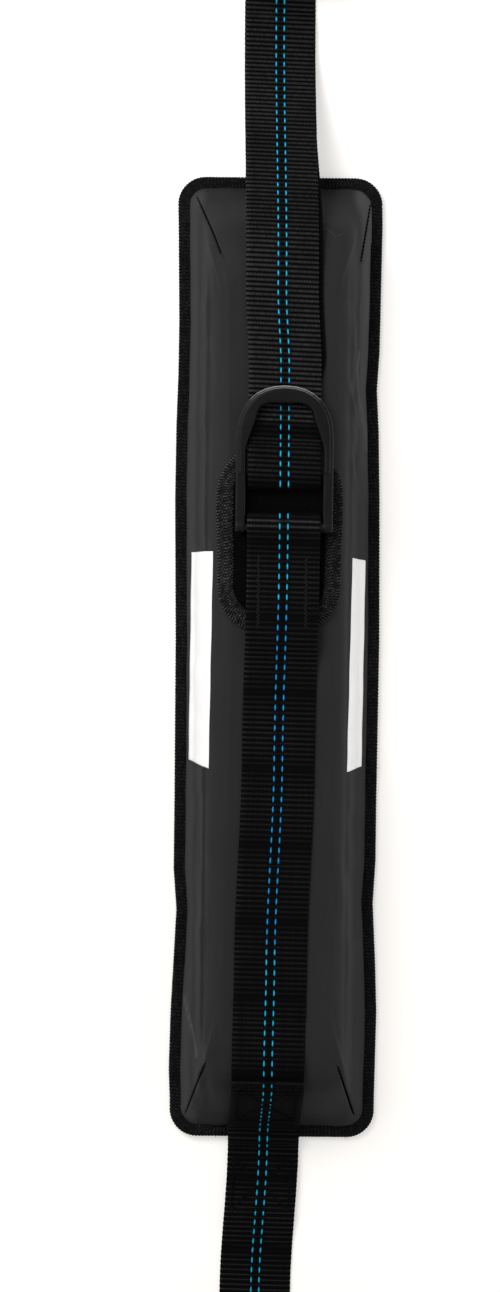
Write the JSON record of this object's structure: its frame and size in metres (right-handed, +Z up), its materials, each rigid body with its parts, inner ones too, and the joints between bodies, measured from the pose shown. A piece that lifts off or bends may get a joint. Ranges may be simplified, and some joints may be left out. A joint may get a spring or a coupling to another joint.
{
  "type": "soft roof rack",
  "caption": "Padded soft roof rack: long foam pad with an edge tape, a cast arch buckle on a protector flap, and flat webbing straps that run off both ends and end in rolls.",
  "frame": {"origin": "middle of the flat underside of the base panel, which rests on the roof", "axes": "+Y along the pad towards the buckle's end, +Z up from the roof, +X across the pad"},
  "size_m": [0.111, 0.843, 0.059],
  "materials": {
    "cover_vinyl": "matt coated cover cloth with soft folds",
    "grip_fabric": "matt non-slip base",
    "foam": "closed-cell foam",
    "edge_tape": "black woven edge tape",
    "webbing": "black ribbed webbing with two blue tracer yarns",
    "flap_fabric": "black neoprene",
    "thread": "black sewing thread",
    "buckle_coating": "satin black coating on a cast buckle"
  },
  "bodies": {
    "pad": {"base_panel": "grip_fabric", "foam_core": "foam", "pad_cover": "cover_vinyl", "binding_tape": "edge_tape", "buckle_flap": "flap_fabric", "flap_binding": "edge_tape", "buckle_strap": "webbing", "bartack_left": "thread", "bartack_right": "thread", "long_strap": "webbing", "long_strap_tail": "webbing", "lower_strap": "webbing", "box_stitch_pad": "thread", "box_stitch_strap": "thread"},
    "buckle": {"buckle": "buckle_coating", "strap_turn": "webbing"}
  },
  "joints": [
    {"name": "buckle_lift", "type": "hinge", "parent": "pad", "child": "buckle", "pos_m": [0.003, 0.068, 0.0544], "axis": [1, 0, 0], "range_deg": [0, 35]}
  ]
}
